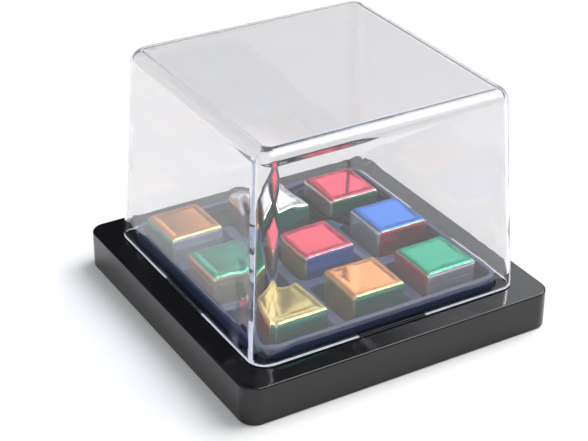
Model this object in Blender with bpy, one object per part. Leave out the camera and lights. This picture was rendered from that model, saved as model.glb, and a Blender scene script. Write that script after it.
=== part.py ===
"""Dice shaker of a colour-matching tile puzzle: a black base, a tray of nine wells,
nine six-colour foiled dice and a clear cover that clips on with four tabs.

Metres, +Z up. The origin is the centre of the base's underside; the wells run in
three rows along X (left, centre, right) and three along Y (front, middle, back).
"""
import math

import bmesh
import bpy
from mathutils import Matrix, Vector

MM = 0.001

# ---- driving dimensions ----------------------------------------------------------
DIE = 12.0 * MM                # edge of one die
DIE_EDGE = 0.9 * MM            # rounding of a die's edges
DIE_PLAY = 1.7 * MM            # room on each side of a centred die in its well
WELL_RIB = 2.6 * MM            # rib between two wells
WELL_CORNER = 1.3 * MM         # upright corners of a well
WELL_FLOOR = 0.8 * MM          # floor under a die

DISH_LEDGE = 0.3 * MM          # step from the outer wells out to the dish above the ribs
DISH_CORNER = 1.8 * MM         # upright corners of that dish
TRAY_RIM = 1.2 * MM            # rim round the dish
TRAY_CORNER = 3.0 * MM         # upright corners of the tray
TRAY_EDGE = 0.5 * MM           # rounding of the rim's outer edge
RIM_PROUD = 2.3 * MM           # rim above the base's top face
RIB_DROP = 1.3 * MM            # ribs below the rim
TRAY_LIFT = 0.3 * MM           # tray's underside above the surface the base stands on

COVER_ROOM = 1.7 * MM          # tray's side to the cover's inner face
COVER_WALL = 1.2 * MM
COVER_CORNER = 3.9 * MM        # outer upright corners
COVER_EDGE = 2.8 * MM          # outer rounding of the crown
COVER_BORE_CORNER = 2.2 * MM   # inner upright corners
COVER_BORE_EDGE = 1.6 * MM     # inner rounding of the crown
COVER_DRAFT = 2.4 * MM         # how far each wall leans in from foot to crown
OVERALL_HEIGHT = 51.2 * MM

TAB_WIDTH = 15.4 * MM          # clip tab in the middle of each wall
TAB_DEPTH = 4.4 * MM           # tab below the cover's foot
TAB_ROOT = 0.5 * MM            # tab's reach up into the wall
TAB_STEP = 0.06 * MM           # tab's faces in from the wall's faces
TAB_BEAD = 0.2 * MM            # how far the tab's bead stands out of its outer face
BEAD_RADIUS = 0.5 * MM
TAB_CHAMFER = 0.5 * MM         # lead-in at the tab's tip

BASE_LEDGE = 4.9 * MM          # top face showing outside the cover
BASE_HEIGHT = 8.2 * MM
BASE_WALL = 1.8 * MM
BASE_TOP = 1.8 * MM            # thickness of the top face
BASE_CORNER = 3.4 * MM
BASE_EDGE = 0.4 * MM           # rounding of the top's outer edge
BASE_FOOT = 0.3 * MM           # rounding where the skirt meets the table

SCREW_SHANK = 0.9 * MM         # radius
SCREW_HEAD = 1.7 * MM          # radius
SCREW_HEAD_TALL = 1.1 * MM
SCREW_HEAD_EDGE = 0.4 * MM     # rounding of the head
SCREW_POINT = 0.45 * MM        # chamfer at the shank's end
SCREW_RECESS = 0.55 * MM       # depth of the cross recess
RECESS_ARM = 1.05 * MM         # half the length of each arm of the cross
RECESS_WIDTH = 0.54 * MM
SCREW_BITE = 2.4 * MM          # length of the shank inside its boss
BOSS_WALL = 1.1 * MM
BOSS_HANG = 1.5 * MM           # boss below the underside of the base's top
LUG_THICK = 1.5 * MM           # screw lug at each corner of the tray
LUG_WALL = 1.4 * MM

# ---- clearances -------------------------------------------------------------------
SEAT_GAP = 0.25 * MM           # between faces that rest on each other
FIT_GAP = 0.3 * MM             # round a piece that drops into an opening
SCREW_GAP = 0.3 * MM           # round a screw's shank

# ---- what follows from them -------------------------------------------------------
WELL = DIE + 2.0 * DIE_PLAY
PITCH = WELL + WELL_RIB
WELLS_HALF = PITCH + WELL / 2.0
DISH_HALF = WELLS_HALF + DISH_LEDGE
TRAY_HALF = DISH_HALF + TRAY_RIM
RIM_TOP = BASE_HEIGHT + RIM_PROUD
RIB_TOP = RIM_TOP - RIB_DROP
FLOOR_TOP = TRAY_LIFT + WELL_FLOOR

BORE_HALF = TRAY_HALF + COVER_ROOM
COVER_HALF = BORE_HALF + COVER_WALL
COVER_FOOT = BASE_HEIGHT + SEAT_GAP
BORE_TOP = OVERALL_HEIGHT - COVER_WALL
TAB_INNER = BORE_HALF + TAB_STEP
TAB_OUTER = COVER_HALF - TAB_STEP
TAB_TIP = COVER_FOOT - TAB_DEPTH

BASE_HALF = COVER_HALF + BASE_LEDGE
BASE_ROOM = BASE_HALF - BASE_WALL
BASE_UNDER_TOP = BASE_HEIGHT - BASE_TOP
OPENING_HALF = TRAY_HALF + FIT_GAP

SCREW_HOLE = SCREW_SHANK + SCREW_GAP
BOSS_RADIUS = SCREW_HOLE + BOSS_WALL
BOSS_FOOT = BASE_UNDER_TOP - BOSS_HANG
LUG_TOP = BOSS_FOOT - SEAT_GAP
LUG_FOOT = LUG_TOP - LUG_THICK
LUG_RADIUS = SCREW_HOLE + LUG_WALL
SCREW_AT = BASE_ROOM - FIT_GAP - LUG_RADIUS
SCREW_UNDERHEAD = LUG_FOOT - SEAT_GAP

OVERCUT = 1.0 * MM             # how far a cutter runs past the face that it opens
TOLERANCE = 0.1 * MM           # less than this counts as level
ARC_STEPS = 6                  # flat steps in a quarter turn
SMALL_STEPS = 3
ROUND_SIDES = 20               # flat sides of a boss, a lug or a screw
HOLE_SIDES = 12                # flat sides of a screw hole or a tab's bead

PLACES = ("left", "centre", "right")
ROWS = ("front", "middle", "back")

# Each die: its column and row, where it lies in its well (-1 to 1 of the free play
# along X and Y), its turn about Z in degrees, and the colour of its top face.
DICE = (
    ("left", "front", 0.44, -0.39, 1.2, "yellow"),
    ("centre", "front", 0.50, 0.12, -0.8, "orange"),
    ("right", "front", -0.38, 0.04, 0.6, "green"),
    ("left", "middle", -0.40, 0.85, -1.0, "green"),
    ("centre", "middle", -0.02, -0.29, 0.9, "red"),
    ("right", "middle", 0.34, 0.45, -0.5, "blue"),
    ("left", "back", -0.78, 0.50, 0.8, "orange"),
    ("centre", "back", 0.20, 0.15, 1.4, "silver"),
    ("right", "back", -0.78, -0.80, -0.6, "red"),
)

FOIL = {
    "red": (0.72, 0.03, 0.09),
    "orange": (0.90, 0.33, 0.10),
    "yellow": (0.72, 0.58, 0.08),
    "green": (0.02, 0.42, 0.20),
    "blue": (0.04, 0.16, 0.70),
    "silver": (0.78, 0.79, 0.82),
}


# ---- scene, collections and materials -----------------------------------------------
def clear_scene():
    for item in list(bpy.data.objects):
        bpy.data.objects.remove(item, do_unlink=True)


def new_collection(name):
    group = bpy.data.collections.new(name)
    bpy.context.scene.collection.children.link(group)
    return group


def make_material(name, colour, roughness, metallic=0.0, transmission=0.0):
    material = bpy.data.materials.new(name)
    material.use_nodes = True
    shader = material.node_tree.nodes["Principled BSDF"]
    shader.inputs["Base Color"].default_value = (*colour, 1.0)
    shader.inputs["Roughness"].default_value = roughness
    shader.inputs["Metallic"].default_value = metallic
    shader.inputs["Transmission Weight"].default_value = transmission
    return material


# ---- mesh helpers ---------------------------------------------------------------------
def bevel_edges(bm, edges, width, steps):
    bmesh.ops.bevel(bm, geom=edges, offset=width, offset_type="OFFSET", segments=steps,
                    profile=0.5, affect="EDGES", clamp_overlap=False, material=-1)


def is_upright(edge):
    return abs(edge.verts[0].co.z - edge.verts[1].co.z) > TOLERANCE


def ring_at(bm, level):
    """Edges of the flat face that lies at one height."""
    for face in bm.faces:
        if all(abs(vert.co.z - level) < TOLERANCE for vert in face.verts):
            return list(face.edges)
    raise ValueError("no flat face at that height")


def rounded_block(half, low, high, corner, lean=0.0, top_edge=0.0, foot_edge=0.0,
                  steps=ARC_STEPS):
    """A square block with rounded upright corners, whose sides lean in by `lean`."""
    bm = bmesh.new()
    bmesh.ops.create_cube(bm, size=2.0)
    for vert in bm.verts:
        upper = vert.co.z > 0.0
        reach = half - lean if upper else half
        vert.co = Vector((vert.co.x * reach, vert.co.y * reach, high if upper else low))
    bevel_edges(bm, [edge for edge in bm.edges if is_upright(edge)], corner, steps)
    if top_edge:
        bevel_edges(bm, ring_at(bm, high), top_edge, steps)
    if foot_edge:
        bevel_edges(bm, ring_at(bm, low), foot_edge, SMALL_STEPS)
    return bm


def box(low, high):
    bm = bmesh.new()
    bmesh.ops.create_cube(bm, size=1.0)
    low = Vector(low)
    high = Vector(high)
    middle = (low + high) / 2.0
    size = high - low
    bmesh.ops.transform(bm, matrix=Matrix.Translation(middle) @ Matrix.Diagonal(size).to_4x4(),
                        verts=bm.verts)
    return bm


def cylinder(radius, low, high, x=0.0, y=0.0, sides=ROUND_SIDES):
    bm = bmesh.new()
    bmesh.ops.create_cone(bm, cap_ends=True, segments=sides, radius1=radius, radius2=radius,
                          depth=high - low)
    bmesh.ops.translate(bm, vec=(x, y, (low + high) / 2.0), verts=bm.verts)
    return bm


def turned(bm, angle):
    """The same mesh turned about the Z axis by an angle in degrees."""
    turn = Matrix.Rotation(math.radians(angle), 4, "Z")
    bmesh.ops.transform(bm, matrix=turn, verts=bm.verts)
    return bm


def finish_object(name, bm, group, material=None, sharp=40.0):
    mesh = bpy.data.meshes.new(name)
    bm.to_mesh(mesh)
    bm.free()
    mesh.shade_smooth()
    mesh.set_sharp_from_angle(angle=math.radians(sharp))
    item = bpy.data.objects.new(name, mesh)
    group.objects.link(item)
    if material:
        mesh.materials.append(material)
    return item


def combine(item, tool, operation):
    """Join a helper shape to an object, or cut it away, with a Boolean modifier."""
    tool.hide_render = True
    tool.display_type = "WIRE"
    step = item.modifiers.new(f"{operation.lower()} {tool.name}", "BOOLEAN")
    step.operation = operation
    step.solver = "EXACT"
    step.object = tool


class Workshop:
    """The collections that pieces and their helper shapes go into."""

    def __init__(self):
        self.parts = new_collection("dice_shaker")
        self.tools = new_collection("cutters")

    def piece(self, name, bm, material):
        return finish_object(name, bm, self.parts, material)

    def add(self, item, name, bm):
        combine(item, finish_object(name, bm, self.tools), "UNION")

    def cut(self, item, name, bm):
        combine(item, finish_object(name, bm, self.tools), "DIFFERENCE")


def corners():
    """The four corner directions, as signs of X and Y, anticlockwise from front left."""
    return ((-1, -1), (1, -1), (1, 1), (-1, 1))


# ---- pieces -----------------------------------------------------------------------------
def build_base(shop, plastic):
    """Black skirt with a flat top, an opening for the tray and a slot for each tab."""
    base = shop.piece("base_housing",
                      rounded_block(BASE_HALF, 0.0, BASE_HEIGHT, BASE_CORNER,
                                    top_edge=BASE_EDGE, foot_edge=BASE_FOOT), plastic)
    shop.cut(base, "base_hollow",
             rounded_block(BASE_ROOM, -OVERCUT, BASE_UNDER_TOP, BASE_CORNER - BASE_WALL))
    shop.cut(base, "tray_opening",
             rounded_block(OPENING_HALF, 0.0, BASE_HEIGHT + OVERCUT, TRAY_CORNER + FIT_GAP))
    slot = TAB_WIDTH / 2.0 + FIT_GAP
    for side in range(4):
        shop.cut(base, f"tab_slot_{side + 1}",
                 turned(box((-slot, TAB_INNER - FIT_GAP, BASE_UNDER_TOP - OVERCUT),
                            (slot, TAB_OUTER + FIT_GAP, BASE_HEIGHT + OVERCUT)), 90.0 * side))
    for number, (x, y) in enumerate(corners(), 1):
        place = {"x": x * SCREW_AT, "y": y * SCREW_AT}
        shop.add(base, f"boss_{number}",
                 cylinder(BOSS_RADIUS, BOSS_FOOT, BASE_UNDER_TOP + BASE_TOP / 2.0, **place))
        shop.cut(base, f"pilot_hole_{number}",
                 cylinder(SCREW_HOLE, BOSS_FOOT - OVERCUT,
                          SCREW_UNDERHEAD + screw_length() + SEAT_GAP,
                          sides=HOLE_SIDES, **place))
    return base


def build_tray(shop, plastic):
    """Nine wells in a raised, rimmed block, held from below by a lug at each corner."""
    tray = shop.piece("socket_tray",
                      rounded_block(TRAY_HALF, TRAY_LIFT, RIM_TOP, TRAY_CORNER,
                                    top_edge=TRAY_EDGE), plastic)
    for number, (x, y) in enumerate(corners(), 1):
        lug_x = x * SCREW_AT
        lug_y = y * SCREW_AT
        reach = math.sqrt(2.0) * SCREW_AT
        root = math.sqrt(2.0) * DISH_HALF - LUG_RADIUS
        turn = math.degrees(math.atan2(y, x))
        shop.add(tray, f"lug_web_{number}",
                 turned(box((root, -LUG_RADIUS, LUG_FOOT), (reach, LUG_RADIUS, LUG_TOP)), turn))
        shop.add(tray, f"lug_end_{number}",
                 cylinder(LUG_RADIUS, LUG_FOOT, LUG_TOP, lug_x, lug_y))
        shop.cut(tray, f"lug_hole_{number}",
                 cylinder(SCREW_HOLE, LUG_FOOT - OVERCUT, LUG_TOP + OVERCUT, lug_x, lug_y,
                          HOLE_SIDES))
    shop.cut(tray, "dish", rounded_block(DISH_HALF, RIB_TOP, RIM_TOP + OVERCUT, DISH_CORNER,
                                         steps=SMALL_STEPS))
    for column in (-1, 0, 1):
        for row in (-1, 0, 1):
            well = rounded_block(WELL / 2.0, FLOOR_TOP, RIM_TOP + OVERCUT, WELL_CORNER,
                                 steps=SMALL_STEPS)
            bmesh.ops.translate(well, vec=(column * PITCH, row * PITCH, 0.0), verts=well.verts)
            shop.cut(tray, f"well_{PLACES[column + 1]}_{ROWS[row + 1]}", well)
    return tray


def build_cover(shop, plastic):
    """Thin drafted cover, open below, with a beaded tab under the middle of each wall."""
    cover = shop.piece("clear_cover",
                       rounded_block(COVER_HALF, COVER_FOOT, OVERALL_HEIGHT, COVER_CORNER,
                                     lean=COVER_DRAFT, top_edge=COVER_EDGE), plastic)
    lean_per_height = COVER_DRAFT / (OVERALL_HEIGHT - COVER_FOOT)
    bore_low = COVER_FOOT - OVERCUT
    bore = rounded_block(BORE_HALF + OVERCUT * lean_per_height, bore_low, BORE_TOP,
                         COVER_BORE_CORNER, lean=(BORE_TOP - bore_low) * lean_per_height,
                         top_edge=COVER_BORE_EDGE)
    shop.cut(cover, "cover_bore", bore)
    half = TAB_WIDTH / 2.0
    for side in range(4):
        tab = box((-half, TAB_INNER, TAB_TIP), (half, TAB_OUTER, COVER_FOOT + TAB_ROOT))
        tip = [edge for edge in ring_at(tab, TAB_TIP)
               if abs(edge.verts[0].co.y - edge.verts[1].co.y) < TOLERANCE]
        bevel_edges(tab, tip, TAB_CHAMFER, 1)
        shop.add(cover, f"tab_{side + 1}", turned(tab, 90.0 * side))
        bead = cylinder(BEAD_RADIUS, TAB_CHAMFER - half, half - TAB_CHAMFER,
                        sides=HOLE_SIDES)
        lay = Matrix.Rotation(math.radians(90.0), 4, "Y")
        bmesh.ops.transform(bead, matrix=lay, verts=bead.verts)
        depth = TAB_OUTER + TAB_BEAD - BEAD_RADIUS
        level = BASE_UNDER_TOP - BEAD_RADIUS - SEAT_GAP
        bmesh.ops.translate(bead, vec=(0.0, depth, level), verts=bead.verts)
        shop.add(cover, f"bead_{side + 1}", turned(bead, 90.0 * side))
    return cover


def die_mesh():
    bm = bmesh.new()
    bmesh.ops.create_cube(bm, size=DIE)
    bevel_edges(bm, list(bm.edges), DIE_EDGE, SMALL_STEPS)
    return bm


def build_dice(shop, foils):
    """Nine dice, each lying on the floor of its own well with its foiled faces square."""
    free = DIE_PLAY - FIT_GAP
    for place, row, shift_x, shift_y, turn, colour in DICE:
        name = f"die_{row}_{place}"
        die = shop.piece(name, die_mesh(), foils[colour])
        die.location = ((PLACES.index(place) - 1) * PITCH + shift_x * free,
                        (ROWS.index(row) - 1) * PITCH + shift_y * free,
                        FLOOR_TOP + SEAT_GAP + DIE / 2.0)
        die.rotation_euler = (0.0, 0.0, math.radians(turn))


def screw_length():
    """Shank length: through the lug, across the gap and into the boss."""
    return SEAT_GAP + LUG_THICK + SEAT_GAP + SCREW_BITE


def build_screws(shop, steel):
    """Four pan-head screws that hold the tray's lugs to the base's bosses."""
    for number, (x, y) in enumerate(corners(), 1):
        name = f"tray_screw_{number}"
        head = cylinder(SCREW_HEAD, -SCREW_HEAD_TALL, 0.0)
        bevel_edges(head, ring_at(head, -SCREW_HEAD_TALL), SCREW_HEAD_EDGE, 2)
        screw = shop.piece(name, head, steel)
        shank = cylinder(SCREW_SHANK, -SCREW_HEAD_TALL / 2.0, screw_length())
        bevel_edges(shank, ring_at(shank, screw_length()), SCREW_POINT, 1)
        shop.add(screw, f"shank_{number}", shank)
        for way in (0, 1):
            blade = box((-RECESS_ARM, -RECESS_WIDTH / 2.0, -SCREW_HEAD_TALL - OVERCUT),
                        (RECESS_ARM, RECESS_WIDTH / 2.0, SCREW_RECESS - SCREW_HEAD_TALL))
            shop.cut(screw, f"recess_{number}_{way + 1}", turned(blade, 90.0 * way))
        place = (x * SCREW_AT, y * SCREW_AT, SCREW_UNDERHEAD)
        screw.location = place
        for step in screw.modifiers:
            step.object.location = place


def build():
    clear_scene()
    shop = Workshop()
    black = make_material("black_gloss", (0.012, 0.012, 0.014), 0.12)
    navy = make_material("tray_black", (0.014, 0.016, 0.026), 0.30)
    clear = make_material("clear_styrene", (0.93, 0.94, 0.97), 0.03, transmission=1.0)
    steel = make_material("zinc_steel", (0.62, 0.62, 0.60), 0.35, metallic=1.0)
    foils = {name: make_material(f"foil_{name}", colour, 0.12, metallic=1.0)
             for name, colour in FOIL.items()}
    build_base(shop, black)
    build_tray(shop, navy)
    build_cover(shop, clear)
    build_dice(shop, foils)
    build_screws(shop, steel)


build()
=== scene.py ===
import math

import bmesh
import bpy
from bpy.props import FloatProperty, FloatVectorProperty, PointerProperty
from bpy.types import Operator, Panel, PropertyGroup
from mathutils import Matrix, Vector


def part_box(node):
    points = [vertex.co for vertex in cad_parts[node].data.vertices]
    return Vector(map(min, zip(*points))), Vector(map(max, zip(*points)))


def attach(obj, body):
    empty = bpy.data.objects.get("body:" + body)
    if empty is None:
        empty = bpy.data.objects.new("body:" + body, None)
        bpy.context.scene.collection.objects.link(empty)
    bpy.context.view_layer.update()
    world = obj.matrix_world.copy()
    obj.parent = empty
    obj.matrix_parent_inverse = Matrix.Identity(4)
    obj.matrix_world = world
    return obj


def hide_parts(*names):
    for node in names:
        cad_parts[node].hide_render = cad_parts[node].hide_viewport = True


bl_info = {
    "name": "Dice Shaker",
    "version": (1, 0, 0),
    "blender": (4, 5, 0),
    "location": "View3D > Sidebar > Dice Shaker",
    "description": "Black base, nine foiled dice in their wells and a clear clip-fit cover",
    "category": "Object",
}

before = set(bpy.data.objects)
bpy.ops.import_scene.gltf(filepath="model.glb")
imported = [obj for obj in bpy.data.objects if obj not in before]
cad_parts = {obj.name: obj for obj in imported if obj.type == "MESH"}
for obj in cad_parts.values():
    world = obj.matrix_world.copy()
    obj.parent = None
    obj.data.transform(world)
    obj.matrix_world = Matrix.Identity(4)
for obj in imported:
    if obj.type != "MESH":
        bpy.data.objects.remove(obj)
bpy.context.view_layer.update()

MM = 0.001
BASE_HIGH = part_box("base_housing")[1]
TRAY_LOW, TRAY_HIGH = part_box("socket_tray")
COVER_LOW, COVER_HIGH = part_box("clear_cover")
SCREW_NAMES = [f"tray_screw_{number}" for number in (1, 2, 3, 4)]

OPPOSITE = {"red": "orange", "orange": "red", "silver": "yellow", "yellow": "silver",
            "blue": "green", "green": "blue"}

# Each die: its row and column, its turn about Z in degrees, and the colours of its top,
# front (-Y) and left (-X) faces; the other three are their opposites.
DICE = (
    ("front", "left", 1.2, "yellow", "green", "red"),
    ("front", "centre", -0.8, "orange", "green", "yellow"),
    ("front", "right", 0.6, "green", "silver", "red"),
    ("middle", "left", -1.0, "green", "yellow", "orange"),
    ("middle", "centre", 0.9, "red", "blue", "yellow"),
    ("middle", "right", -0.5, "blue", "red", "silver"),
    ("back", "left", 0.8, "orange", "silver", "green"),
    ("back", "centre", 1.4, "silver", "green", "orange"),
    ("back", "right", -0.6, "red", "green", "silver"),
)


# ---- small sizes that a user would leave alone -----------------------------------------
OVERCUT = 1.0 * MM          # how far a cutting shape reaches past the face that it cuts
SLOT_CORNER = 0.35 * MM     # upright corners of a tab slot
BOSS_WALL = 1.4 * MM        # material round a screw's shank
BOSS_DROP = 1.5 * MM        # boss below the top's underside
BOSS_ROOT = 0.9 * MM        # boss's reach up into the top
BORE_SKIN = 0.8 * MM        # top left above a screw's bore
DISH_CORNER = 1.8 * MM      # upright corners of the dish above the ribs
LUG_TALL = 1.5 * MM         # thickness of a screw lug
WEB_STEP = 0.05 * MM        # web's faces in from the lug's, so that none are level
WELL_FOOT = 0.5 * MM        # rounding between a well's walls and its floor
RIM_LIP = 0.3 * MM          # rounding of the rim's inner upper edge
TAB_ROOT = 0.5 * MM         # tab's reach up into the wall
TAB_CHAMFER = 0.5 * MM      # lead-in at the tab's tip
BEAD_END = 0.5 * MM         # bead's end in from the tab's side
RECESS_DEPTH = 0.55 * MM    # cross recess in a screw's head
RECESS_ARM = 0.62           # half length of its arm, as a share of the head's radius
RECESS_HALF = 0.16          # half width of its arm, as a share of the head's radius
SCREW_POINT = 0.45 * MM     # bevel at the shank's end
HEAD_EDGE = 0.35            # rounding of the head, as a share of its height
SAME_LEVEL = 0.1 * MM       # an edge whose ends differ by less in height is level
SAME_POINT = 1e-7           # metres; points this near each other are one
ON_LEVEL = 1e-6             # metres; a point this near a height lies on it
REACH_ROOM = 1e-5           # metres added to a reach, so that points on it are inside


# ---- sizes and colours that a user would change ----------------------------------------
def length(name, description, default):
    return FloatProperty(name=name, description=description, default=default,
                         unit="LENGTH", subtype="DISTANCE", precision=5)


def colour(name, description, default):
    return FloatVectorProperty(name=name, description=description, default=default,
                               size=3, min=0.0, max=1.0, subtype="COLOR")


class ShakerSizes(PropertyGroup):
    base_corner: length("Base corner", "Radius of the base's upright corners", 3.4 * MM)
    base_edge: length("Base edge", "Rounding of the base's upper edge", 0.4 * MM)
    base_foot: length("Base foot", "Rounding where the skirt meets the table", 0.3 * MM)
    base_wall: length("Base wall", "Thickness of the skirt and of the top", 1.8 * MM)
    tray_half: length("Tray half width", "Centre of the tray to its outer side", 27.2 * MM)
    tray_corner: length("Tray corner", "Radius of the tray's upright corners", 3.0 * MM)
    tray_edge: length("Tray edge", "Rounding of the tray's outer upper edge", 0.5 * MM)
    tray_rim: length("Tray rim", "Width of the rim round the wells", 1.2 * MM)
    rib_drop: length("Rib drop", "Top of the ribs below the rim", 1.3 * MM)
    well: length("Well", "Width of one square well", 15.4 * MM)
    well_pitch: length("Well pitch", "Centre to centre of the wells", 18.0 * MM)
    well_corner: length("Well corner", "Radius of a well's upright corners", 1.3 * MM)
    well_floor: length("Well floor", "Thickness of the floor below a die", 0.8 * MM)
    well_lip: length("Well lip", "Rounding of the ribs' upper edges", 0.25 * MM)
    cover_half: length("Cover half width", "Centre to the cover's outer foot", 30.1 * MM)
    cover_wall: length("Cover wall", "Thickness of the clear wall", 1.2 * MM)
    cover_lean: length("Cover lean", "How far a wall leans in, foot to crown", 2.4 * MM)
    cover_corner: length("Cover corner", "Outer radius of the upright corners", 3.9 * MM)
    cover_edge: length("Cover edge", "Outer rounding of the crown", 2.8 * MM)
    bore_corner: length("Bore corner", "Inner radius of the upright corners", 2.2 * MM)
    bore_edge: length("Bore edge", "Inner rounding of the crown", 1.6 * MM)
    tab_width: length("Tab width", "Width of the tab under each wall", 15.4 * MM)
    tab_step: length("Tab step", "Tab's faces in from the wall's faces", 0.06 * MM)
    tab_bead: length("Tab bead", "Bead standing out of the tab", 0.2 * MM)
    bead_radius: length("Bead radius", "Radius of the bead", 0.5 * MM)
    seat_gap: length("Seat gap", "Gap between faces that rest on each other", 0.25 * MM)
    fit_gap: length("Fit gap", "Room round a piece in its opening", 0.3 * MM)
    die_edge: length("Die edge", "Rounding of a die's edges", 0.9 * MM)
    screw_head: length("Screw head", "Radius of a screw's head", 1.7 * MM)
    screw_shank: length("Screw shank", "Radius of a screw's shank", 0.9 * MM)
    screw_head_tall: length("Screw head height", "Height of a screw's head", 1.1 * MM)


class ShakerColours(PropertyGroup):
    base: colour("Base", "Gloss black of the base", (0.004, 0.004, 0.005))
    tray: colour("Tray", "Blue-black of the tray", (0.042, 0.060, 0.120))
    cover: colour("Cover", "Faint tint of the clear cover", (0.882, 0.874, 0.878))
    # The foot's pale colour is painted glow, standing in for light guided down the clear walls
    # to the foot.
    foot: colour("Cover foot", "Frosted edge of the cover", (0.60, 0.62, 0.68))
    red: colour("Red foil", "Red face of a die", (0.78, 0.085, 0.14))
    orange: colour("Orange foil", "Orange face of a die", (0.95, 0.42, 0.17))
    yellow: colour("Yellow foil", "Yellow face of a die", (0.78, 0.63, 0.25))
    green: colour("Green foil", "Green face of a die", (0.03, 0.42, 0.25))
    blue: colour("Blue foil", "Blue face of a die", (0.06, 0.22, 0.72))
    silver: colour("Silver foil", "Silver face of a die", (0.82, 0.83, 0.86))
    seam: colour("Seam", "Bare metal where two foils meet", (0.86, 0.76, 0.52))
    screw: colour("Screw", "Zinc plate of the screws", (0.60, 0.60, 0.58))
    floor: colour("Floor", "Plain pale floor", (0.90, 0.90, 0.90))


def sizes():
    return bpy.context.scene.shaker_sizes


def colours():
    return bpy.context.scene.shaker_colours


# ---- shader maths ----------------------------------------------------------------------
# A Mix node's sockets for colours. Their names repeat for each type, so numbers pick them.
MIX_SHARE, MIX_FIRST, MIX_SECOND = 0, 6, 7
MIX_RESULT = 2


def opaque(tint):
    """A colour of three parts with an alpha of 1; a socket passes through."""
    return tint if isinstance(tint, bpy.types.NodeSocket) else (*tint, 1.0)


def darker(tint, share):
    """A colour dimmed to a share of itself."""
    return [share * part for part in tint]


class Value:
    """One output of a node tree; arithmetic on it adds Math nodes."""

    def __init__(self, tree, socket):
        self.tree = tree
        self.socket = socket

    def maths(self, operation, *terms):
        node = self.tree.add("ShaderNodeMath", {"operation": operation},
                             dict(enumerate(terms)))
        return Value(self.tree, node.outputs[0])

    def __add__(self, other):
        return self.maths("ADD", self, other)

    def __radd__(self, other):
        return self.maths("ADD", other, self)

    def __sub__(self, other):
        return self.maths("SUBTRACT", self, other)

    def __rsub__(self, other):
        return self.maths("SUBTRACT", other, self)

    def __mul__(self, other):
        return self.maths("MULTIPLY", self, other)

    def __rmul__(self, other):
        return self.maths("MULTIPLY", other, self)

    def __gt__(self, other):
        return self.maths("GREATER_THAN", self, other)

    def size(self):
        return self.maths("ABSOLUTE", self)

    def larger(self, other):
        return self.maths("MAXIMUM", self, other)

    def smaller(self, other):
        return self.maths("MINIMUM", self, other)

    def between(self, low, high):
        """0 at low, 1 at high and smooth between them."""
        node = self.tree.add("ShaderNodeMapRange", {"interpolation_type": "SMOOTHSTEP"},
                             {"Value": self, "From Min": low, "From Max": high})
        return Value(self.tree, node.outputs["Result"])


class Tree:
    """A material's or world's node tree, filled by one method."""

    def __init__(self, owner):
        owner.use_nodes = True
        self.nodes = owner.node_tree.nodes
        self.links = owner.node_tree.links
        self.nodes.clear()

    def add(self, kind, settings=None, values=None):
        """Add a node: its settings first, then a value or a link for each named socket."""
        node = self.nodes.new(kind)
        for name, setting in (settings or {}).items():
            setattr(node, name, setting)
        for name, value in (values or {}).items():
            socket = node.inputs[name]
            if isinstance(value, Value):
                self.links.new(value.socket, socket)
            elif isinstance(value, bpy.types.NodeSocket):
                self.links.new(value, socket)
            else:
                socket.default_value = value
        return node

    def value(self, kind, output, settings=None, values=None):
        return Value(self, self.add(kind, settings, values).outputs[output])

    def place(self):
        """Object coordinates, which are the row frame's metres."""
        return self.add("ShaderNodeTexCoord").outputs["Object"]

    def noise(self, scale, detail, roughness):
        """Noise from 0 to 1, with about `scale` blobs to the metre."""
        return self.value("ShaderNodeTexNoise", "Fac", {"noise_dimensions": "3D"},
                          {"Vector": self.place(), "Scale": scale,
                           "Detail": detail, "Roughness": roughness})

    def axes(self, vector):
        """X, Y and Z of a vector socket."""
        split = self.add("ShaderNodeSeparateXYZ", None, {"Vector": vector})
        return [Value(self, split.outputs[axis]) for axis in "XYZ"]

    def blend(self, share, first, second):
        """Mix two colours: a share of 0 gives the first and 1 the second."""
        node = self.add("ShaderNodeMix", {"data_type": "RGBA"},
                        {MIX_SHARE: share, MIX_FIRST: opaque(first),
                         MIX_SECOND: opaque(second)})
        return node.outputs[MIX_RESULT]

    def bump(self, height, strength, distance):
        """A normal for relief whose height of 0 to 1 stands for `distance`."""
        return self.add("ShaderNodeBump", None,
                        {"Height": height, "Strength": strength,
                         "Distance": distance}).outputs["Normal"]

    def towards(self, way, aim):
        """Cosine of the angle between a direction socket and a fixed direction."""
        return self.value("ShaderNodeVectorMath", "Value", {"operation": "DOT_PRODUCT"},
                          {0: way, 1: tuple(Vector(aim).normalized())})

    def finish(self, shader, kind="ShaderNodeOutputMaterial", **more):
        self.add(kind, None, {"Surface": shader, **more})


def new_material(name):
    material = bpy.data.materials.new(name)
    return material, Tree(material)


def moulded_gloss(name, tint, dull, polish, ripple):
    """Polished black moulding: faint mould ripple, and dust that dulls it in patches."""
    material, tree = new_material(name)
    dust = tree.noise(420.0, 6.0, 0.62).between(0.52, 0.80)
    smear = tree.noise(46.0, 3.0, 0.55).between(0.40, 0.72)
    base = tree.blend(dust * 0.35, tint, dull)
    roughness = polish + smear * 0.05 + dust * 0.10
    wave = tree.noise(95.0, 2.0, 0.5)
    shader = tree.add("ShaderNodeBsdfPrincipled", None,
                      {"Base Color": base, "Roughness": roughness, "IOR": 1.5,
                       "Normal": tree.bump(wave, 0.25, ripple)})
    tree.finish(shader.outputs["BSDF"])
    return material


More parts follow.
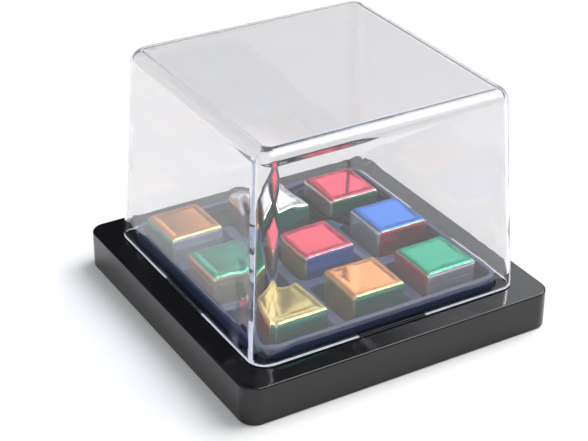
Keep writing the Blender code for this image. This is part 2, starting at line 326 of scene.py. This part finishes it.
def clear_plastic(name):
    """Clear polished styrene. Lamp rays pass it, slightly dimmed, so the inside is lit."""
    material, tree = new_material(name)
    x, y, z = tree.axes(tree.place())
    near_corner = x.size().smaller(y.size()).between(17.0 * MM, 26.0 * MM)
    below_crown = (44.0 * MM - z).between(0.0, 6.0 * MM)
    flow = (tree.noise(150.0, 1.0, 0.4) * (near_corner * below_crown)
            + tree.noise(34.0, 1.0, 0.4) * 0.3)
    smear = tree.noise(60.0, 4.0, 0.6).between(0.55, 0.85)
    shader = tree.add("ShaderNodeBsdfPrincipled", None,
                      {"Base Color": (*colours().cover, 1.0), "Roughness": smear * 0.03,
                       "IOR": 1.57, "Transmission Weight": 1.0,
                       "Normal": tree.bump(flow, 1.0, 0.35 * MM)})
    passing = tree.add("ShaderNodeBsdfTransparent", None,
                       {"Color": (0.90, 0.91, 0.93, 1.0)})
    rays = tree.add("ShaderNodeLightPath")
    both = tree.add("ShaderNodeMixShader", None,
                    {0: rays.outputs["Is Shadow Ray"], 1: shader.outputs["BSDF"],
                     2: passing.outputs["BSDF"]})
    depth = tree.add("ShaderNodeVolumeAbsorption", None,
                     {"Color": (0.56, 0.62, 0.75, 1.0), "Density": 22.0})
    tree.finish(both.outputs["Shader"], Volume=depth.outputs["Volume"])
    return material


def foot_painted_glow(name):
    """Matt moulded edge of the cover. Its pale colour is painted glow, standing in for light
    guided down the clear walls to the foot.
    """
    material, tree = new_material(name)
    grain = tree.noise(900.0, 4.0, 0.6)
    shade = tree.blend(grain.between(0.3, 0.7), darker(colours().foot, 0.86),
                       colours().foot)
    shader = tree.add("ShaderNodeBsdfPrincipled", None,
                      {"Base Color": shade, "Roughness": 0.45 + grain * 0.2, "IOR": 1.57,
                       "Normal": tree.bump(grain, 0.3, 0.02 * MM)})
    tree.finish(shader.outputs["BSDF"])
    return material


def foiled_faces(name, centre, half, turn, faces):
    """Six hot-stamped metallic foils that meet on the rounded edges of one die."""
    material, tree = new_material(name)
    local = tree.add("ShaderNodeMapping", {"vector_type": "TEXTURE"},
                     {"Vector": tree.place(), "Location": centre,
                      "Rotation": (0.0, 0.0, turn), "Scale": (half, half, half)})
    wobble = tree.noise(520.0, 3.0, 0.6) - 0.5
    x, y, z = tree.axes(local.outputs["Vector"])
    far_x = x.size() + wobble * 0.05
    far_y = y.size() - wobble * 0.05
    far_z = z.size() + wobble * 0.03
    tint = tree.blend(x > 0.0, faces["-x"], faces["+x"])
    on_y = far_y > far_x
    tint = tree.blend(on_y, tint, tree.blend(y > 0.0, faces["-y"], faces["+y"]))
    side = far_x.larger(far_y)
    on_z = far_z > side
    tint = tree.blend(on_z, tint, tree.blend(z > 0.0, faces["-z"], faces["+z"]))
    nearest = side.larger(far_z)
    middle = far_z.smaller(side).larger(far_x.smaller(far_y))
    seam = (middle - nearest).between(-0.030, -0.012)
    tint = tree.blend(seam * 0.85, tint, colours().seam)
    edge = middle.between(0.66, 0.90)
    crease = tree.noise(620.0, 2.0, 0.5)
    grain = tree.noise(150.0, 1.0, 0.5)
    height = grain * 0.22 + crease * (0.03 + edge * 0.75)
    worn = tree.noise(260.0, 5.0, 0.65).between(0.50, 0.78)
    shader = tree.add("ShaderNodeBsdfPrincipled", None,
                      {"Base Color": tint, "Metallic": 0.86,
                       "Roughness": 0.07 + worn * 0.06 + edge * 0.16,
                       "Normal": tree.bump(height, 0.6, 0.22 * MM)})
    tree.finish(shader.outputs["BSDF"])
    return material


def zinc_plate(name):
    """Dull zinc with a fine spangle."""
    material, tree = new_material(name)
    spangle = tree.noise(1500.0, 4.0, 0.6)
    tone = tree.blend(spangle.between(0.3, 0.7), darker(colours().screw, 0.72),
                      colours().screw)
    shader = tree.add("ShaderNodeBsdfPrincipled", None,
                      {"Base Color": tone, "Metallic": 1.0,
                       "Roughness": 0.28 + spangle * 0.18,
                       "Normal": tree.bump(spangle, 0.25, 0.02 * MM)})
    tree.finish(shader.outputs["BSDF"])
    return material


# ---- mesh helpers ----------------------------------------------------------------------
def bevel_edges(bm, edges, width, steps):
    bmesh.ops.bevel(bm, geom=edges, offset=width, offset_type="OFFSET", segments=steps,
                    profile=0.5, affect="EDGES", clamp_overlap=False, material=-1)


def is_upright(edge):
    return abs(edge.verts[0].co.z - edge.verts[1].co.z) > SAME_LEVEL


def ring_at(bm, level):
    """Edges of the flat face that lies at one height."""
    for face in bm.faces:
        if all(abs(vert.co.z - level) < SAME_POINT for vert in face.verts):
            return list(face.edges)
    raise ValueError("no flat face at that height")


def rounded_block(half, low, high, corner, lean=0.0, top_edge=0.0, foot_edge=0.0, steps=12):
    """A square block with rounded upright corners, whose sides lean in by `lean`."""
    bm = bmesh.new()
    bmesh.ops.create_cube(bm, size=2.0)
    for vert in bm.verts:
        upper = vert.co.z > 0.0
        reach = half - lean if upper else half
        vert.co = Vector((vert.co.x * reach, vert.co.y * reach, high if upper else low))
    bevel_edges(bm, [edge for edge in bm.edges if is_upright(edge)], corner, steps)
    if top_edge:
        bevel_edges(bm, ring_at(bm, high), top_edge, steps)
    if foot_edge:
        bevel_edges(bm, ring_at(bm, low), foot_edge, 4)
    return bm


def box(low, high):
    bm = bmesh.new()
    bmesh.ops.create_cube(bm, size=1.0)
    low = Vector(low)
    high = Vector(high)
    size = Matrix.Diagonal(high - low).to_4x4()
    bmesh.ops.transform(bm, matrix=Matrix.Translation((low + high) / 2.0) @ size,
                        verts=bm.verts)
    return bm


def cylinder(radius, low, high, x=0.0, y=0.0, sides=48):
    bm = bmesh.new()
    bmesh.ops.create_cone(bm, cap_ends=True, segments=sides, radius1=radius, radius2=radius,
                          depth=high - low)
    bmesh.ops.translate(bm, vec=(x, y, (low + high) / 2.0), verts=bm.verts)
    return bm


def turned(bm, degrees):
    bmesh.ops.transform(bm, matrix=Matrix.Rotation(math.radians(degrees), 4, "Z"),
                        verts=bm.verts)
    return bm


def loose_object(name, bm):
    mesh = bpy.data.meshes.new(name)
    bm.to_mesh(mesh)
    bm.free()
    item = bpy.data.objects.new(name, mesh)
    bpy.context.scene.collection.objects.link(item)
    return item


def carved(body, steps):
    """Join shapes to a body, or cut them away, and give back one clean mesh."""
    item = loose_object("carving", body)
    helpers = []
    for number, (operation, shape) in enumerate(steps):
        helper = loose_object(f"carving_tool_{number}", shape)
        helpers.append(helper)
        step = item.modifiers.new("carve", "BOOLEAN")
        step.operation = operation
        step.solver = "EXACT"
        step.object = helper
    bpy.context.view_layer.update()
    view = item.evaluated_get(bpy.context.evaluated_depsgraph_get())
    bm = bmesh.new()
    bm.from_mesh(view.to_mesh())
    view.to_mesh_clear()
    for extra in [item, *helpers]:
        mesh = extra.data
        bpy.data.objects.remove(extra, do_unlink=True)
        bpy.data.meshes.remove(mesh)
    bmesh.ops.remove_doubles(bm, verts=bm.verts, dist=SAME_POINT)
    return bm


def finished(name, bm, materials, sharp=35.0):
    """A smooth-shaded object at the origin whose flat faces stay flat."""
    item = loose_object(name, bm)
    item.data.shade_smooth()
    item.data.set_sharp_from_angle(angle=math.radians(sharp))
    for material in materials:
        item.data.materials.append(material)
    weigh = item.modifiers.new("even normals", "WEIGHTED_NORMAL")
    weigh.keep_sharp = True
    weigh.weight = 80
    return item


def corners():
    """The four corner directions, anticlockwise from front left."""
    return ((-1, -1), (1, -1), (1, 1), (-1, 1))


# ---- pieces ----------------------------------------------------------------------------
def screw_place():
    """Distance of the screws from the middle along X and Y, and their heads' underside."""
    low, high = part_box(SCREW_NAMES[2])
    return (low.x + high.x) / 2.0, low.z + sizes().screw_head_tall


def make_base():
    s = sizes()
    half = BASE_HIGH.x
    top = BASE_HIGH.z
    under_top = top - s.base_wall
    screw_at = screw_place()[0]
    boss = s.screw_shank + BOSS_WALL
    boss_foot = under_top - BOSS_DROP
    cuts = [("DIFFERENCE", rounded_block(half - s.base_wall, -OVERCUT, under_top,
                                         s.base_corner - s.base_wall)),
            ("DIFFERENCE", rounded_block(s.tray_half + s.fit_gap, 0.0, top + OVERCUT,
                                         s.tray_corner + s.fit_gap))]
    slot = s.tab_width / 2.0 + s.fit_gap
    slot_in = s.cover_half - s.cover_wall + s.tab_step - s.fit_gap
    slot_out = s.cover_half - s.tab_step + s.fit_gap
    for side in range(4):
        block = box((-slot, slot_in, under_top - OVERCUT), (slot, slot_out, top + OVERCUT))
        bevel_edges(block, [edge for edge in block.edges if is_upright(edge)], SLOT_CORNER, 4)
        cuts.append(("DIFFERENCE", turned(block, 90.0 * side)))
    for x, y in corners():
        place = {"x": x * screw_at, "y": y * screw_at}
        cuts.append(("UNION", cylinder(boss, boss_foot, under_top + BOSS_ROOT, **place)))
        cuts.append(("DIFFERENCE", cylinder(s.screw_shank + s.fit_gap, boss_foot - OVERCUT,
                                            top - BORE_SKIN, sides=32, **place)))
    bm = carved(rounded_block(half, 0.0, top, s.base_corner, top_edge=s.base_edge,
                              foot_edge=s.base_foot), cuts)
    piece = finished("base_shell", bm,
                     [moulded_gloss("black_gloss", colours().base, (0.012, 0.012, 0.013),
                                    0.055, 0.02 * MM)])
    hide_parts("base_housing")
    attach(piece, "base")


def level_edges(bm, level, reach):
    """Edges between a level face and an upright wall, inside a square of that reach."""
    found = []
    for edge in bm.edges:
        if len(edge.link_faces) != 2:
            continue
        if any(abs(vert.co.z - level) > ON_LEVEL for vert in edge.verts):
            continue
        if any(max(abs(vert.co.x), abs(vert.co.y)) > reach for vert in edge.verts):
            continue
        upward = sorted(abs(face.normal.z) for face in edge.link_faces)
        if upward[0] < 0.1 and upward[1] > 0.9:
            found.append(edge)
    return found


def make_tray():
    s = sizes()
    top = TRAY_HIGH.z
    rib_top = top - s.rib_drop
    floor_top = TRAY_LOW.z + s.well_floor
    dish_half = s.tray_half - s.tray_rim
    screw_at, underhead = screw_place()
    lug_foot = underhead + s.seat_gap
    lug_top = lug_foot + LUG_TALL
    lug = TRAY_HIGH.x - screw_at
    steps = []
    for x, y in corners():
        turn = math.degrees(math.atan2(y, x))
        root = math.sqrt(2.0) * dish_half - lug
        web = box((root, WEB_STEP - lug, lug_foot + WEB_STEP),
                  (math.sqrt(2.0) * screw_at, lug - WEB_STEP, lug_top - WEB_STEP))
        steps.append(("UNION", turned(web, turn)))
        steps.append(("UNION", cylinder(lug, lug_foot, lug_top, x * screw_at, y * screw_at)))
        steps.append(("DIFFERENCE", cylinder(s.screw_shank + s.fit_gap, lug_foot - OVERCUT,
                                             lug_top + OVERCUT, x * screw_at, y * screw_at,
                                             sides=32)))
    steps.append(("DIFFERENCE", rounded_block(dish_half, rib_top, top + OVERCUT, DISH_CORNER,
                                              steps=8)))
    for column in (-1, 0, 1):
        for row in (-1, 0, 1):
            well = rounded_block(s.well / 2.0, floor_top, top + OVERCUT, s.well_corner,
                                 foot_edge=WELL_FOOT, steps=6)
            bmesh.ops.translate(well, vec=(column * s.well_pitch, row * s.well_pitch, 0.0),
                                verts=well.verts)
            steps.append(("DIFFERENCE", well))
    bm = carved(rounded_block(s.tray_half, TRAY_LOW.z, top, s.tray_corner,
                              top_edge=s.tray_edge), steps)
    bevel_edges(bm, level_edges(bm, top, dish_half + REACH_ROOM), RIM_LIP, 5)
    wells = s.well_pitch + s.well / 2.0
    bevel_edges(bm, level_edges(bm, rib_top, wells + REACH_ROOM), s.well_lip, 4)
    piece = finished("wells_tray", bm,
                     [moulded_gloss("tray_gloss", colours().tray, (0.06, 0.08, 0.12),
                                    0.14, 0.03 * MM)])
    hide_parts("socket_tray")
    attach(piece, "base")


def make_cover():
    s = sizes()
    foot = BASE_HIGH.z + s.seat_gap
    top = COVER_HIGH.z
    bore_half = s.cover_half - s.cover_wall
    slope = s.cover_lean / (top - foot)
    bore_low = foot - OVERCUT
    bore_top = top - s.cover_wall
    bore = rounded_block(bore_half + OVERCUT * slope, bore_low, bore_top, s.bore_corner,
                         lean=(bore_top - bore_low) * slope, top_edge=s.bore_edge, steps=14)
    steps = [("DIFFERENCE", bore)]
    half = s.tab_width / 2.0
    inner = bore_half + s.tab_step
    outer = s.cover_half - s.tab_step
    tip_level = COVER_LOW.z
    for side in range(4):
        tab = box((-half, inner, tip_level), (half, outer, foot + TAB_ROOT))
        tip = [edge for edge in ring_at(tab, tip_level)
               if abs(edge.verts[0].co.y - edge.verts[1].co.y) < SAME_LEVEL]
        bevel_edges(tab, tip, TAB_CHAMFER, 3)
        steps.append(("UNION", turned(tab, 90.0 * side)))
        bead = cylinder(s.bead_radius, BEAD_END - half, half - BEAD_END, sides=32)
        bmesh.ops.transform(bead, matrix=Matrix.Rotation(math.radians(90.0), 4, "Y"),
                            verts=bead.verts)
        level = BASE_HIGH.z - s.base_wall - s.bead_radius - s.seat_gap
        bmesh.ops.translate(bead, vec=(0.0, outer + s.tab_bead - s.bead_radius, level),
                            verts=bead.verts)
        steps.append(("UNION", turned(bead, 90.0 * side)))
    bm = carved(rounded_block(s.cover_half, foot, top, s.cover_corner, lean=s.cover_lean,
                              top_edge=s.cover_edge, steps=14), steps)
    # The foot's underside takes the pale foot material, whose colour is painted glow.
    for face in bm.faces:
        if face.normal.z < -0.9 and abs(face.calc_center_median().z - foot) < ON_LEVEL:
            face.material_index = 1
    piece = finished("cover_shell", bm, [clear_plastic("clear_styrene"),
                                         foot_painted_glow("cover_foot_painted_glow")], sharp=30.0)
    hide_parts("clear_cover")
    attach(piece, "cover")


def make_die(row, column, turn, top, front, left):
    node = f"die_{row}_{column}"
    low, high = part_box(node)
    centre = (low + high) / 2.0
    edge = high.z - low.z
    bm = bmesh.new()
    bmesh.ops.create_cube(bm, size=edge)
    bevel_edges(bm, list(bm.edges), sizes().die_edge, 8)
    angle = math.radians(turn)
    bmesh.ops.transform(bm, matrix=Matrix.Translation(centre) @ Matrix.Rotation(angle, 4, "Z"),
                        verts=bm.verts)
    pick = colours()
    names = {"+z": top, "-z": OPPOSITE[top], "-y": front, "+y": OPPOSITE[front],
             "-x": left, "+x": OPPOSITE[left]}
    faces = {way: tuple(getattr(pick, name)) for way, name in names.items()}
    foil = foiled_faces(f"foil_{row}_{column}", centre, edge / 2.0, angle, faces)
    piece = finished(f"cube_{row}_{column}", bm, [foil])
    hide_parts(node)
    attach(piece, node)


def make_screws():
    s = sizes()
    zinc = zinc_plate("zinc_plate")
    for name in SCREW_NAMES:
        low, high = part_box(name)
        underhead = low.z + s.screw_head_tall
        place = Vector(((low.x + high.x) / 2.0, (low.y + high.y) / 2.0, 0.0))
        shank = cylinder(s.screw_shank, underhead - 0.5 * s.screw_head_tall, high.z)
        bevel_edges(shank, ring_at(shank, high.z), SCREW_POINT, 4)
        steps = [("UNION", shank)]
        arm = RECESS_ARM * s.screw_head
        width = RECESS_HALF * s.screw_head
        for way in (0, 1):
            blade = box((-arm, -width, low.z - OVERCUT), (arm, width, low.z + RECESS_DEPTH))
            steps.append(("DIFFERENCE", turned(blade, 90.0 * way)))
        head = cylinder(s.screw_head, low.z, underhead, sides=64)
        bevel_edges(head, ring_at(head, low.z), HEAD_EDGE * s.screw_head_tall, 5)
        bm = carved(head, steps)
        bmesh.ops.translate(bm, vec=place, verts=bm.verts)
        piece = finished(name.replace("tray_screw", "pan_screw"), bm, [zinc])
        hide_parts(name)
        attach(piece, "base")


# ---- stage -----------------------------------------------------------------------------
CAMERA_AZIMUTH = -30.69        # degrees; 0 looks along +Y
CAMERA_ELEVATION = 29.63
CAMERA_ROLL = 0.31
CAMERA_DISTANCE = 0.33468      # metres from the middle of the base's underside
CAMERA_RIGHT = -0.00382        # camera's shift along its own right and up, in metres
CAMERA_UP = 0.01480
CAMERA_LENS = 97.96            # mm, on a 36 mm wide sensor
DARK_SIDE = (-0.19, 0.92, 0.34)    # where the room is unlit, behind and to the left
DIM_SPOT = (0.44, -0.69, 0.57)     # where it is dimmer, so that the walls show no ghosts
DARKEST = 0.03                 # strengths of the room's parts
ROOM_LIGHT = 0.31
CEILING_LIGHT = 0.2
CARD_LIGHT = 1.85
CARD_TOP = 0.510               # sine of the elevation of the card's top, straight behind
CARD_TILT = 0.45               # rise of that top from left to right
CARD_LEFT = 0.06               # how far the card reaches to the left
LIGHT_BOUNCES = 64             # enough for light that is guided along the clear walls


def view_axes():
    """Directions of the camera's right, up and back."""
    azimuth = math.radians(CAMERA_AZIMUTH)
    elevation = math.radians(CAMERA_ELEVATION)
    back = Vector((math.sin(azimuth) * math.cos(elevation),
                   -math.cos(azimuth) * math.cos(elevation), math.sin(elevation)))
    right = Vector((0.0, 0.0, 1.0)).cross(back).normalized()
    up = back.cross(right)
    roll = math.radians(CAMERA_ROLL)
    return (right * math.cos(roll) + up * math.sin(roll),
            up * math.cos(roll) - right * math.sin(roll), back)


def make_camera():
    right, up, back = view_axes()
    data = bpy.data.cameras.new("camera")
    data.lens = CAMERA_LENS
    data.sensor_width = 36.0
    data.clip_start = 0.01
    data.clip_end = 20.0
    camera = bpy.data.objects.new("camera", data)
    bpy.context.scene.collection.objects.link(camera)
    place = back * CAMERA_DISTANCE + right * CAMERA_RIGHT + up * CAMERA_UP
    turn = Matrix((right, up, back)).transposed().to_4x4()
    camera.matrix_world = Matrix.Translation(place) @ turn
    bpy.context.scene.camera = camera


def make_floor():
    bm = bmesh.new()
    bmesh.ops.create_grid(bm, x_segments=8, y_segments=8, size=2.5)
    floor = loose_object("floor", bm)
    material, tree = new_material("white_card")
    fibre = tree.noise(300.0, 3.0, 0.6)
    shader = tree.add("ShaderNodeBsdfPrincipled", None,
                      {"Base Color": (*colours().floor, 1.0),
                       "Roughness": 0.75 + fibre * 0.1, "IOR": 1.3})
    tree.finish(shader.outputs["BSDF"])
    floor.data.materials.append(material)


def make_light():
    """A pale room, unlit behind and to the left, a bright card low behind, and two lamps."""
    world = bpy.data.worlds.new("studio")
    bpy.context.scene.world = world
    tree = Tree(world)
    way = tree.add("ShaderNodeTexCoord").outputs["Generated"]
    right, up, back = view_axes()
    z = tree.towards(way, (0.0, 0.0, 1.0))
    forward = tree.towards(way, (-back.x, -back.y, 0.0))
    sideways = tree.towards(way, (right.x, right.y, 0.0))
    card_top = CARD_TOP + sideways * CARD_TILT
    card = ((card_top - z).between(-0.036, 0.012) * z.between(0.440, 0.468)
            * forward.between(0.0, 0.15) * (sideways + CARD_LEFT).between(-0.045, 0.035))
    gloom = (tree.towards(way, DARK_SIDE).between(0.50, 0.66)
             * z.between(0.455, 0.475) * (0.72 - z).between(0.0, 0.10))
    ghost = tree.towards(way, DIM_SPOT).between(0.90, 0.97)
    room = (1.0 - gloom) * (1.0 - ghost * 0.8)
    ceiling = z.between(0.2, 0.9) * CEILING_LIGHT
    strength = DARKEST + room * (ROOM_LIGHT + ceiling) + card * CARD_LIGHT
    sky = tree.add("ShaderNodeBackground", None,
                   {"Color": (0.96, 0.98, 1.0, 1.0), "Strength": strength})
    tree.finish(sky.outputs["Background"], "ShaderNodeOutputWorld")
    bpy.context.scene.view_settings.view_transform = "Standard"
    make_lamp("key", (0.60, -0.04, 0.80), 1.25, 1.15, 15.6)
    make_lamp("fill", (-0.62, -0.62, 0.48), 1.0, 1.3, 2.8)
    cycles = bpy.context.scene.cycles
    cycles.max_bounces = LIGHT_BOUNCES
    cycles.glossy_bounces = LIGHT_BOUNCES
    cycles.transmission_bounces = LIGHT_BOUNCES


def make_lamp(name, aim, distance, size, power):
    """A round softbox that faces the middle of the base."""
    lamp = bpy.data.lights.new(name, "AREA")
    lamp.shape = "DISK"
    lamp.size = size
    lamp.energy = power
    holder = bpy.data.objects.new(name, lamp)
    aim = Vector(aim).normalized()
    turn = aim.to_track_quat("Z", "Y").to_matrix().to_4x4()
    holder.matrix_world = Matrix.Translation(aim * distance) @ turn
    bpy.context.scene.collection.objects.link(holder)


# ---- operators -------------------------------------------------------------------------
class SHAKER_OT_base(Operator):
    """Make the black base: skirt, top, tab slots and screw bosses"""
    bl_idname = "shaker.base"
    bl_label = "Base"

    def execute(self, context):
        make_base()
        return {"FINISHED"}


class SHAKER_OT_tray(Operator):
    """Make the tray of nine wells with its rim, ribs and screw lugs"""
    bl_idname = "shaker.tray"
    bl_label = "Tray"

    def execute(self, context):
        make_tray()
        return {"FINISHED"}


class SHAKER_OT_cover(Operator):
    """Make the clear cover with its four beaded tabs"""
    bl_idname = "shaker.cover"
    bl_label = "Cover"

    def execute(self, context):
        make_cover()
        return {"FINISHED"}


class SHAKER_OT_dice(Operator):
    """Make the nine dice with their metallic foils"""
    bl_idname = "shaker.dice"
    bl_label = "Dice"

    def execute(self, context):
        for row, column, turn, top, front, left in DICE:
            make_die(row, column, turn, top, front, left)
        return {"FINISHED"}


class SHAKER_OT_screws(Operator):
    """Make the four pan-head screws below the tray"""
    bl_idname = "shaker.screws"
    bl_label = "Screws"

    def execute(self, context):
        make_screws()
        return {"FINISHED"}


class SHAKER_OT_stage(Operator):
    """Make the floor, the studio light and the camera"""
    bl_idname = "shaker.stage"
    bl_label = "Stage"

    def execute(self, context):
        make_floor()
        make_light()
        make_camera()
        return {"FINISHED"}


class SHAKER_PT_panel(Panel):
    bl_label = "Dice Shaker"
    bl_idname = "SHAKER_PT_panel"
    bl_space_type = "VIEW_3D"
    bl_region_type = "UI"
    bl_category = "Dice Shaker"

    def draw(self, context):
        layout = self.layout
        for operator in OPERATORS:
            layout.operator(operator.bl_idname)
        for group in (context.scene.shaker_sizes, context.scene.shaker_colours):
            column = layout.column()
            for name in group.__annotations__:
                column.prop(group, name)


OPERATORS = (SHAKER_OT_stage, SHAKER_OT_base, SHAKER_OT_tray, SHAKER_OT_screws,
             SHAKER_OT_dice, SHAKER_OT_cover)
CLASSES = (ShakerSizes, ShakerColours, *OPERATORS, SHAKER_PT_panel)


def register():
    for entry in CLASSES:
        bpy.utils.register_class(entry)
    bpy.types.Scene.shaker_sizes = PointerProperty(type=ShakerSizes)
    bpy.types.Scene.shaker_colours = PointerProperty(type=ShakerColours)


def unregister():
    del bpy.types.Scene.shaker_colours
    del bpy.types.Scene.shaker_sizes
    for entry in reversed(CLASSES):
        bpy.utils.unregister_class(entry)


def main():
    register()
    bpy.ops.shaker.stage()
    bpy.ops.shaker.base()
    bpy.ops.shaker.tray()
    bpy.ops.shaker.screws()
    bpy.ops.shaker.dice()
    bpy.ops.shaker.cover()


if __name__ == "__main__":
    main()
